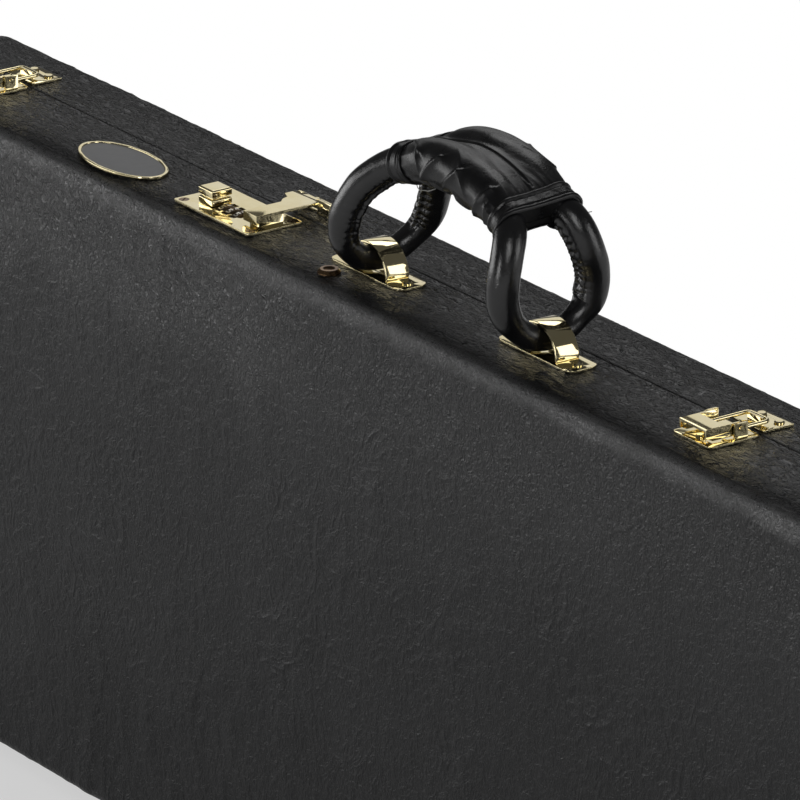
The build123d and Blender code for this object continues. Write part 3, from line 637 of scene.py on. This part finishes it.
def tube(path, guide, radius, sides, offset):
    """A tube's points, one ring to each point of the path. offset(along, angle) adds to the radius."""
    along, first, second = tube_frames(path, guide)
    travelled = np.r_[0, np.cumsum(np.linalg.norm(np.diff(path, axis=0), axis=1))]
    angle = np.linspace(0, 2 * math.pi, sides, endpoint=False)
    s, a = np.meshgrid(travelled, angle, indexing="ij")
    out = radius[:, None] + offset(s, a)
    ring = np.cos(a)[..., None] * first[:, None] + np.sin(a)[..., None] * second[:, None]
    points = path[:, None] + ring * out[..., None]
    return points.reshape(-1, 3), quads(len(path), sides, closed=True)


def turned(angle, centre):
    """An angle measured from centre, from -pi to pi."""
    return (angle - centre + math.pi) % (2 * math.pi) - math.pi


def on_handle(points):
    """Handle places, given in millimetres from its middle on the case's top, as points in the frame."""
    return np.array([(x / 1000, handle_y + y / 1000, case_top + h / 1000) for x, y, h in points])


left_near = [(-24, -12, 74), (-34, -13, 72), (-45, -17, 65.5), (-56, -22, 54.5), (-64, -25.5, 39)]
left_near += [(-68, -24.5, 25), (-70, -18.2, 16.0), (-71.5, -10.4, 10.7)]
left_far = [(-24, 12, 74), (-33, 14, 70), (-43, 18, 64), (-53, 23, 53), (-60.5, 26, 38)]
left_far += [(-66, 25, 25), (-69.5, 18.4, 16.2), (-71.5, 10.4, 10.7)]
right_near = [(60, -16, 70), (68, -20, 67.5), (73.5, -25, 60.5), (74.8, -28.5, 48), (73.5, -28.5, 34)]
right_near += [(72.5, -25.0, 24), (72, -18.4, 16.2), (72, -10.4, 10.7)]
right_far = [(60, 14, 70.5), (67.5, 15.5, 67.5), (73, 18.5, 60.5), (75.5, 22.5, 49), (74.5, 26, 37)]
right_far += [(73, 25.0, 24), (72, 18.4, 16.2), (72, 10.4, 10.7)]
near_grip = [(-33.5, -13, 72.1), (-24, -12, 74), (-9, -12.3, 79.5), (15, -12.5, 81.5), (40, -13.3, 77)]
near_grip += [(60, -16, 70), (67.5, -19.2, 67.2)]
far_grip = [(-32.5, 13.6, 71), (-24, 12, 74), (-9, 12.3, 80.5), (15, 12.5, 83.5), (40, 13.2, 79)]
far_grip += [(60, 14, 70.8), (66.5, 15.3, 68.2)]


def loop_tube(name, near, bottom, far, near_hole, hole, seam_gap):
    """One end loop, with a gathered seam along its inside, towards a point within each strand's curve."""
    path = smooth_path(on_handle(near + [bottom] + far[::-1]), 0.0007)
    length = np.linalg.norm(np.diff(path, axis=0), axis=1).sum()
    lowest = length * np.argmin(path[:, 2]) / (len(path) - 1)
    share = np.linspace(-1, 1, len(path))
    radius = loop_radius + loop_padding * smoothstep(np.abs(share), 0.20, 0.42)
    towards = smoothstep(share, -0.35, 0.2)[:, None]
    guide = on_handle([near_hole])[0] * (1 - towards) + on_handle([hole])[0] * towards

    def offset(s, a):
        inward = turned(a, 0.0)
        places = np.stack([s, 0.01 * np.cos(a), 0.01 * np.sin(a)], -1)
        uneven = noise(places, (190, 90, 90), 1)
        patch = 0.5 + 0.5 * noise(places, (45, 20, 20), 3)
        seamed = smoothstep(np.abs(s - lowest), 0.021, 0.030)
        welt = bell(inward + 0.08 * uneven, 0.12) * (0.0013 + 0.0004 * uneven)
        groove = -0.0005 * bell(np.abs(inward) - 0.32, 0.14)
        pleat = np.abs(np.sin(math.pi * s / seam_gap + 2.6 * uneven + 1.4 * np.sign(inward)))
        gather = 0.0015 * bell(inward, 0.8) * (pleat**0.7 - 0.6) * (0.4 + 0.6 * patch)
        return seamed * (welt + groove + gather) + 0.00020 * noise(places, 60, 2) + 0.00009 * uneven

    points, faces = tube(path, guide, radius, loop_sides, offset)
    piece = add_piece(name, points, faces, materials["loop_leather"], "handle")
    return piece


def thread_piece(name, lines, thickness):
    """Thin round lines, such as loose threads, as one mesh."""
    all_points, all_faces = [], []
    for line in lines:
        path = smooth_path(line, 0.0008)
        guide = path + np.array([0.3, 0.2, 1.0])
        points, faces = tube(path, guide, np.full(len(path), thickness), 6, lambda s, a: 0 * s)
        all_faces.append(faces + sum(len(p) for p in all_points))
        all_points.append(points)
    points, faces = np.concatenate(all_points), np.concatenate(all_faces)
    add_piece(name, points, faces, materials["thread"], "handle")


def fold(s, a, line, width, height, sharp):
    """A crisp fold along a line of (along, angle) places on a strand, steeper on one side."""
    best = np.full(s.shape, 1e9)
    side = np.zeros(s.shape)
    for (s0, a0), (s1, a1) in zip(line[:-1], line[1:]):
        ds, da = s1 - s0, (a1 - a0) * strand_reach
        ps, pa = s - s0, (a - a0) * strand_reach
        t = np.clip((ps * ds + pa * da) / (ds * ds + da * da), 0, 1)
        distance = np.hypot(ps - t * ds, pa - t * da)
        cross = ds * pa - da * ps
        closer = distance < best
        best = np.where(closer, distance, best)
        side = np.where(closer, np.sign(cross), side)
    reach = np.where(side * sharp > 0, width * 0.35, width)
    return height * np.exp(-((best / reach) ** 1.3))


def resampled(path, count):
    where = np.linspace(0, len(path) - 1, count)
    return np.stack([np.interp(where, np.arange(len(path)), path[:, k]) for k in range(3)], -1)


near_path = resampled(smooth_path(on_handle(near_grip), 0.0005), grip_rows)
far_path = resampled(smooth_path(on_handle(far_grip), 0.0005), grip_rows)
grip_middle = (near_path + far_path) / 2
grip_along = np.gradient(grip_middle, axis=0)
grip_along /= np.linalg.norm(grip_along, axis=1)[:, None]
grip_across = far_path - near_path
grip_half = np.linalg.norm(grip_across, axis=1) / 2
grip_across /= 2 * grip_half[:, None]
grip_up = np.cross(grip_across, grip_along)
grip_up *= np.sign(grip_up[:, 2])[:, None]
grip_up /= np.linalg.norm(grip_up, axis=1)[:, None]
grip_lines = (grip_middle, grip_across, grip_up, grip_half)
grip_length = np.linalg.norm(np.diff(grip_middle, axis=0), axis=1).sum()


def grip_outline(half, radius, top_fill, bottom_fill):
    """Both strands in one skin, seen along them: places across and up, and their angles on the strand."""
    turn = np.linspace(0, math.pi, half_turn_steps)
    bridge = np.linspace(1, -1, bridge_steps + 2)[1:-1]

    def bridged(place, fill):
        reach = half * (1 - np.abs(place))
        circle = np.sqrt(np.clip(radius**2 - reach**2, 0, None))
        level = fill * radius
        joined = (circle + level + np.sqrt((circle - level) ** 2 + (0.12 * radius) ** 2)) / 2
        share = smoothstep(np.abs(place), 0.65, 1.0)
        return joined * (1 - share) + circle * share

    across = np.concatenate(
        [-half - radius * np.sin(turn), -half * bridge, half + radius * np.sin(turn[::-1]), half * bridge]
    )
    height = np.concatenate(
        [
            radius * np.cos(turn),
            -bridged(bridge, bottom_fill),
            radius * np.cos(turn[::-1]),
            bridged(bridge, top_fill),
        ]
    )
    near_top = bridge[bridge < 0]
    far_top = bridge[bridge >= 0]
    angle = np.concatenate(
        [
            turn,
            np.where(bridge > 0, math.pi + (1 - bridge), -math.pi - (1 + bridge)),
            -turn[::-1],
            (1 - far_top) * half / radius,
            -(1 + near_top) * half / radius,
        ]
    )
    return across, height, angle


def grip_skin(first, last, rows, radius_at, offset, top_fill, bottom_fill, closed_ends):
    """A skin round both strands between two places along the grip."""
    where = np.linspace(first, last, rows)
    points = []
    grid_s, grid_a, grid_x = [], [], []
    outlines = []
    for s in where:
        row = np.clip(s / grip_length * (grip_rows - 1), 0, grip_rows - 1)
        low = int(min(row, grip_rows - 2))
        share = row - low
        middle, across_way, up_way, half = (v[low] * (1 - share) + v[low + 1] * share for v in grip_lines)
        across, height, angle = grip_outline(half, radius_at(s), top_fill(s), bottom_fill(s))
        outlines.append((middle, across_way, up_way, across, height))
        grid_s.append(np.full(len(angle), s))
        grid_a.append(angle)
        grid_x.append(across)
    grid_s, grid_a, grid_x = np.array(grid_s), np.array(grid_a), np.array(grid_x)
    lift = offset(grid_s, grid_a, grid_x)
    for (middle, across_way, up_way, across, height), rise in zip(outlines, lift):
        slope_x = np.roll(across, -1) - np.roll(across, 1)
        slope_z = np.roll(height, -1) - np.roll(height, 1)
        size = np.hypot(slope_x, slope_z)
        out_x = slope_z / size
        out_z = -slope_x / size
        sign = 1 if out_z[0] > 0 else -1
        x = across + sign * out_x * rise
        z = height + sign * out_z * rise
        points.append(middle + across_way * x[:, None] + up_way * z[:, None])
    if closed_ends:
        for end in (0, -1):
            middle, across_way, up_way, across, height = outlines[end]
            rings = []
            for squeeze in (0.85, 0.45, 0.02):
                x = across * (0.93 + 0.07 * squeeze)
                z = height * squeeze
                rings.append(middle + across_way * x[:, None] + up_way * z[:, None])
            points = points + rings if end else rings[::-1] + points
    count = len(grid_a[0])
    return np.concatenate(points), quads(len(points), count, closed=True)


# The sleeve's folds: a line of (along, angle) places, then the width, the height and the steeper side
near_folds = [
    ([(0.027, 0.9), (0.033, 1.95)], 0.0026, 0.0016, 1),
    ([(0.033, 1.95), (0.046, 0.80)], 0.0024, 0.0016, -1),
    ([(0.0505, 2.06), (0.061, 0.90)], 0.0028, 0.0017, -1),
    ([(0.061, 0.90), (0.070, 1.55)], 0.0022, 0.0011, 1),
    ([(0.0785, 2.2), (0.0825, 0.5)], 0.0026, 0.0016, -1),
    ([(0.087, 1.2), (0.090, 2.0)], 0.0020, 0.0012, 1),
    ([(0.016, 2.35), (0.037, 2.45)], 0.0018, 0.0014, 1),
    ([(0.040, 2.3), (0.048, 2.7)], 0.0022, 0.0013, -1),
    ([(0.062, 2.2), (0.068, 2.7)], 0.0026, 0.0015, -1),
    ([(0.020, 0.3), (0.030, 0.9)], 0.0030, 0.0008, 1),
    ([(0.052, 0.1), (0.060, 0.6)], 0.0034, 0.0007, -1),
]
far_folds = [
    ([(0.030, -1.0), (0.036, -2.0)], 0.0026, 0.0009, 1),
    ([(0.050, -1.9), (0.060, -0.9)], 0.0028, 0.0010, 1),
    ([(0.076, -2.1), (0.080, -1.0)], 0.0024, 0.0010, -1),
    ([(0.064, -0.2), (0.078, -0.7)], 0.0034, 0.0006, 1),
]


def sleeve_radius(s):
    share = np.clip((s - band_reach) / (grip_length - 2 * band_reach), 0, 1)
    return sleeve_radius_at_end + sleeve_padding * math.sin(math.pi * share) ** 0.5


def sleeve_lift(s, a, x):
    """The sleeve's relief: pleats at the bands, a sunk seam on top, a welt below and folds on the strands."""
    places = np.stack([s, x, strand_reach * np.sin(a)], -1)
    broad = noise(places, (55, 60, 70), 3)
    uneven = noise(places, (160, 220, 260), 1)
    gathered = np.exp(-np.clip(s - band_reach, 0, None) / 0.008)
    gathered += np.exp(-np.clip(grip_length - band_reach - s, 0, None) / 0.010)
    pleats = np.abs(np.sin(6.0 * a + 2.4 * broad + 60 * x)) ** 0.8
    total = -0.00055 * gathered * pleats + 0.00055 * broad + 0.00010 * uneven
    total -= 0.0011 * (np.abs(a) < 1.2) * bell(x - 0.0012, 0.00055)
    total += 0.0010 * (np.abs(a) > 2.6) * bell(x + 0.004, 0.0012) * (0.6 + 0.4 * uneven)
    for strand, folds in ((x < 0, near_folds), (x >= 0, far_folds)):
        for line, width, height, sharp in folds:
            total += strand * fold(s, a, line, width, height, sharp)
    return total


def top_fill(s):
    """How full the leather lies between the strands on top: flat under the bands, a shallow dip between."""
    from_end = min(s, grip_length - s)
    dip = 0.30 - 0.24 * smoothstep(s / grip_length, 0.25, 0.75)
    return 0.95 - dip * smoothstep(from_end, band_reach, 0.024)


points, faces = grip_skin(
    0.0012, grip_length - 0.0012, 180, sleeve_radius, sleeve_lift, top_fill, lambda s: 0.45, True
)
sleeve = add_piece("grip_sleeve", points, faces, materials["handle_leather"], "handle")
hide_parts("handle_sleeve")

left_loop = loop_tube("left_loop", left_near, (-72, 0, 8.5), left_far, (-34, -16, 44), (-58, 0, 40), 0.0048)
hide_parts("handle_loop_left")
right_loop = loop_tube("right_loop", right_near, (72, 0, 8.5), right_far, (58, 0, 40), (56, -4, 40), 0.0044)
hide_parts("handle_loop_right")


def sleeve_band(name, node, first, last):
    """A strip round both strands at an end of the sleeve, its edges turned in and stitched in two lines."""
    middle = (first + last) / 2
    width = last - first

    def lift(s, a, x):
        off = np.abs((s - middle) / width)
        places = np.stack([s, x, strand_reach * np.sin(a)], -1)
        stitched = bell((off - 0.24) * width, 0.00045) * (0.8 + 0.4 * noise(places, (60, 330, 330), 3))
        ridge = bell((off - 0.36) * width, 0.0007)
        rolled = np.clip((off - 0.44) / 0.06, 0, 1)
        rise = 0.0006 + 0.00025 * ridge - 0.00060 * stitched - 0.0012 * rolled**2
        return rise + 0.00022 * noise(places, (120, 150, 150), 1) + 0.00010 * noise(places, 420, 2)

    points, faces = grip_skin(
        first, last, 44, lambda s: sleeve_radius(s) + 0.0002, lift, top_fill, lambda s: 0.5, False
    )
    piece = add_piece(name, points, faces, materials["handle_leather"], "handle")
    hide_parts(node)


sleeve_band("left_band", "handle_band_left", 0.0006, 0.0116)
sleeve_band("right_band", "handle_band_right", grip_length - 0.0120, grip_length - 0.0006)

threads = [
    on_handle([(-22, -12, 63.0), (-18, -13.5, 61.6), (-14, -12.5, 62.8), (-10, -14, 63.4), (-6, -12, 65.6)]),
    on_handle([(-15, -14, 63.2), (-13.4, -16, 61.0), (-12.8, -17, 62.4)]),
    on_handle([(62, 23, 66.8), (67, 25.5, 66.4), (70.5, 27.5, 67.6)]),
]
thread_piece("loose_threads", threads, 0.00022)


# Hard pieces with rounded edges
edge_widths = {
    "lock_plate": 0.0004,
    "handle_plates": 0.0004,
    "handle_straps": 0.0005,
    "hasp_arm": 0.00045,
    "hasp_leaf": 0.0003,
    "latch_plates": 0.0003,
    "latch_catches": 0.0003,
    "latch_lever_1": 0.00025,
    "latch_lever_2": 0.00025,
    "latch_lever_3": 0.00025,
    "lock_slider": 0.0012,
    "hinge_base_leaves": 0.0003,
    "hinge_lid_leaves": 0.0003,
    "base_feet": 0.0008,
    "lid_feet": 0.0008,
    "badge": 0.0003,
}
inlays = {"badge": materials["badge_field"]}
for node, width in edge_widths.items():
    softened(node, width, inlay=inlays.get(node))
nodes["side_rivet"].data.materials[0] = bronze
nodes["lock_screws"].data.materials[0] = bronze


# The dials of the lock
figure_count = 10
figure_height = 0.0034
figure_rows = 12
figure_stretch = 1.45
figure_relief = 0.0001
wheel_sides = 240
shown_figures = {"dial_1": 5, "dial_2": 5, "dial_3": 5}


def figure_mesh(text):
    """A flat raised figure as points and faces, its middle at the origin, cut into rows that can bend."""
    curve = bpy.data.curves.new("figure", "FONT")
    curve.body = text
    curve.size = figure_height * 1.38
    curve.offset = figure_relief
    curve.align_x = "CENTER"
    curve.resolution_u = 3
    curve.extrude = figure_relief
    holder = bpy.data.objects.new("figure", curve)
    scene.collection.objects.link(holder)
    bpy.context.view_layer.update()
    mesh = bpy.data.meshes.new_from_object(holder)
    work = bmesh.new()
    work.from_mesh(mesh)
    bottom = min(vertex.co.y for vertex in work.verts)
    top = max(vertex.co.y for vertex in work.verts)
    for level in np.linspace(bottom, top, figure_rows)[1:-1]:
        everything = work.verts[:] + work.edges[:] + work.faces[:]
        bmesh.ops.bisect_plane(work, geom=everything, plane_co=(0, level, 0), plane_no=(0, 1, 0))
    work.verts.index_update()
    points = np.array([vertex.co for vertex in work.verts])
    faces = [[vertex.index for vertex in face.verts] for face in work.faces]
    work.free()
    bpy.data.objects.remove(holder)
    bpy.data.meshes.remove(mesh)
    points[:, 0] *= figure_stretch
    points[:, 1] -= (bottom + top) / 2
    return points, faces


figures = [figure_mesh(str(value)) for value in range(figure_count)]


def number_wheel(node, shown):
    """A dial with a grip notch between its ten figures, which are set into its rim in a pale colour."""
    low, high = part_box(node)
    centre = np.array((low + high) / 2)
    radius = (high.z - low.z) / 2
    half = (high.x - low.x) / 2
    step = 2 * math.pi / figure_count
    first = math.radians(20)

    def on_wheel(across, out, angle):
        place = np.broadcast_arrays(across, -out * np.sin(angle), out * np.cos(angle))
        return centre + np.stack(place, -1)

    turn = np.linspace(0, 2 * math.pi, wheel_sides, endpoint=False)
    notch = bell(turned(turn * figure_count, figure_count * (first + step / 2)), 0.42)
    side = [
        (1.0, 0.0013, 0.0),
        (1.0, radius - 0.0007, 0.0),
        (0.93, radius - 0.00015, 0.6),
        (0.80, radius, 1.0),
    ]
    rows = [(-place, out, notched) for place, out, notched in side] + side[::-1]
    rings = [on_wheel(place * half, out - 0.00055 * notch * notched, turn) for place, out, notched in rows]
    points = np.concatenate(rings)
    faces = [list(face) for face in quads(len(rows), wheel_sides, closed=True)]
    wheel_faces = len(faces)
    for value, (flat, figure_faces) in enumerate(figures):
        angle = first + (value - shown) * step - flat[:, 1] / radius
        start = len(points)
        points = np.concatenate([points, on_wheel(flat[:, 0], radius + 0.00002 + flat[:, 2], angle)])
        faces.extend([[start + i for i in face] for face in figure_faces])
    name = node + "_numbered"
    piece = add_piece(name, points, faces, materials["dials"], node_body[node], smooth=False)
    piece.data.materials.append(materials["figures"])
    colours = np.zeros(len(faces), dtype=np.int32)
    colours[wheel_faces:] = 1
    piece.data.polygons.foreach_set("material_index", colours)
    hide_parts(node)


for node, shown in shown_figures.items():
    number_wheel(node, shown)


# Soft pieces of the inside
def soft_copy(node, voxel, inset):
    """A remeshed copy of a CAD soft solid, drawn in a little so that it can swell."""
    piece = bpy.data.objects.new(node + "_soft", nodes[node].data.copy())
    scene.collection.objects.link(piece)
    remesh = piece.modifiers.new("even", "REMESH")
    remesh.mode = "VOXEL"
    remesh.voxel_size = voxel
    applied(piece)
    mesh = piece.data
    mesh.update()
    points, normals = vertex_arrays(mesh)
    mesh.vertices.foreach_set("co", (points - normals * inset).ravel())
    mesh.update()
    return piece


def applied(piece):
    """Turns a piece's modifiers into its mesh."""
    graph = bpy.context.evaluated_depsgraph_get()
    graph.update()
    mesh = bpy.data.meshes.new_from_object(piece.evaluated_get(graph))
    piece.modifiers.clear()
    piece.data = mesh


def vertex_arrays(mesh):
    points = np.empty(3 * len(mesh.vertices))
    mesh.vertices.foreach_get("co", points)
    normals = np.array([vertex.normal for vertex in mesh.vertices])
    return points.reshape(-1, 3), normals


def napped(node, points, normals, layers, margin):
    """Points made uneven by layers of (height, scale, seed), and pressed back into the CAD solid's space."""
    rise = sum(height * noise(points, scale, seed) for height, scale, seed in layers)
    low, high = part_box(node)
    return np.clip(points + normals * rise[:, None], np.array(low) + margin, np.array(high) - margin)


stuffed = {"end_bolsters": 0.85, "neck_bolster": 0.85, "neck_cradle": 0.8, "waist_bolsters": 0.85}
lined = ("base_pad", "lid_pad", "base_rim_lining", "lid_rim_lining")
swell_steps = 20
swell_cap = 0.004
cushions = {node: soft_copy(node, 0.005, 0.0022) for node in stuffed}
starts = {node: vertex_arrays(piece.data)[0] for node, piece in cushions.items()}
for piece in cushions.values():
    cloth = piece.modifiers.new("stuffing", "CLOTH")
    cloth.settings.quality = 6
    cloth.settings.mass = 0.25
    cloth.settings.use_pressure = True
    cloth.settings.uniform_pressure_force = 4.0
    cloth.settings.effector_weights.gravity = 0
    cloth.point_cache.frame_start = 1
    cloth.point_cache.frame_end = swell_steps
for frame_number in range(1, swell_steps + 1):
    scene.frame_set(frame_number)
for piece in cushions.values():
    applied(piece)
scene.frame_set(1)
for node, piece in cushions.items():
    points, normals = vertex_arrays(piece.data)
    moved = points - starts[node]
    far = np.linalg.norm(moved, axis=1)
    points = starts[node] + moved * np.minimum(1, swell_cap / np.maximum(far, 1e-9))[:, None]
    points = napped(node, points, normals, ((0.0004, 60, 1), (0.0002, 180, 2)), 0.0004)
    piece.data.vertices.foreach_set("co", points.ravel())
    piece.data.update()
    rounding = piece.modifiers.new("rounding", "SUBSURF")
    rounding.levels = 1
    applied(piece)
for node in lined:
    thin = soft_copy(node, 0.0022, 0.0003)
    points, normals = vertex_arrays(thin.data)
    points = napped(node, points, normals, ((0.0003, 35, 1), (0.00016, 140, 3)), 0.0001)
    thin.data.vertices.foreach_set("co", points.ravel())
    thin.data.update()
    cushions[node] = thin
for node, piece in cushions.items():
    piece.data.materials.clear()
    piece.data.materials.append(materials["plush"])
    piece.data.shade_smooth()
    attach(piece, node_body[node])
    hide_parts(node)


# Stage: floor, lights and camera
def studio_floor():
    """A pale floor with the object's shadow near it. The camera and the metal see it as white further off."""
    surface = Surface("studio_floor")
    surface.finished({"Base Color": (0.82, 0.82, 0.82, 1), "Roughness": 0.9})
    rays = surface.add("ShaderNodeLightPath", {})
    seen = surface.math("MAXIMUM", rays["Is Camera Ray"], surface.product(rays["Is Glossy Ray"], 0.26))
    place = surface.add("ShaderNodeNewGeometry", {})["Position"]
    flat = surface.add("ShaderNodeVectorMath", {0: place, 1: (0.6, 2.2, 0)}, operation="MULTIPLY")["Vector"]
    away = surface.add("ShaderNodeVectorMath", {0: flat}, operation="LENGTH")["Value"]
    share = surface.product(seen, surface.mapped(away, 0.25, 1.3, 0.55, 1.0))
    glow = surface.add("ShaderNodeEmission", {"Color": (1, 1, 1, 1), "Strength": 1.0})["Emission"]
    shown = {"Fac": share, 1: surface.shader.outputs["BSDF"], 2: glow}
    mixed = surface.add("ShaderNodeMixShader", shown)["Shader"]
    surface.feed(surface.nodes["Material Output"], "Surface", mixed)
    mesh = bpy.data.meshes.new("floor")
    mesh.from_pydata([(-12, -12, 0), (12, -12, 0), (12, 12, 0), (-12, 12, 0)], [], [(0, 1, 2, 3)])
    mesh.materials.append(surface.material)
    floor = bpy.data.objects.new("floor", mesh)
    scene.collection.objects.link(floor)


studio_floor()

world = bpy.data.worlds.new("studio")
scene.world = world
sky = Tree(world)
camera_ray = sky.add("ShaderNodeLightPath", {})["Is Camera Ray"]
background = sky.nodes["Background"]
sky.feed(background, "Color", (1, 1, 1, 1))
sky.feed(background, "Strength", sky.mapped(camera_ray, 0.0, 1.0, 0.07, 1.0))


def softbox(name, place, aim, size, power):
    """A rectangular area light at a place, turned towards aim."""
    light = bpy.data.lights.new(name, "AREA")
    light.shape = "RECTANGLE"
    light.size, light.size_y = size
    light.energy = power
    lamp = bpy.data.objects.new(name, light)
    lamp.location = place
    lamp.rotation_euler = (Vector(aim) - Vector(place)).to_track_quat("-Z", "Y").to_euler()
    scene.collection.objects.link(lamp)


softbox("overhead", (-1.3, 1.0, 2.1), (-0.1, 0.0, 0.3), (1.4, 0.9), 8)
softbox("back_panel", (-2.6, 1.9, 1.5), (-0.1, 0.0, 0.35), (1.9, 1.2), 4.6)
softbox("right_panel", (2.6, 1.9, 0.9), (-0.1, 0.0, 0.35), (1.6, 1.6), 15)
softbox("low_left", (-2.3, -1.7, 0.5), (-0.1, 0.0, 0.25), (2.0, 0.9), 17)
softbox("low_front", (0.5, -2.7, 0.45), (-0.1, 0.0, 0.3), (0.5, 0.8), 8)
softbox("right", (2.2, -1.2, 1.7), (0.0, 0.0, 0.3), (0.9, 1.6), 14)

camera_aim = Vector((-0.0774, 0.0045, 0.291))
camera_back = Vector((0.764, -0.541, 0.351)).normalized()
camera_distance = 4.679
camera_lens = 415.2
lens = bpy.data.cameras.new("camera")
lens.lens = camera_lens
lens.sensor_width = 36.0
lens.clip_start = 0.1
lens.clip_end = 60.0
camera = bpy.data.objects.new("camera", lens)
camera.location = camera_aim + camera_back * camera_distance
camera.rotation_euler = (-camera_back).to_track_quat("-Z", "Y").to_euler()
scene.collection.objects.link(camera)
scene.camera = camera
scene.view_settings.view_transform = "Standard"
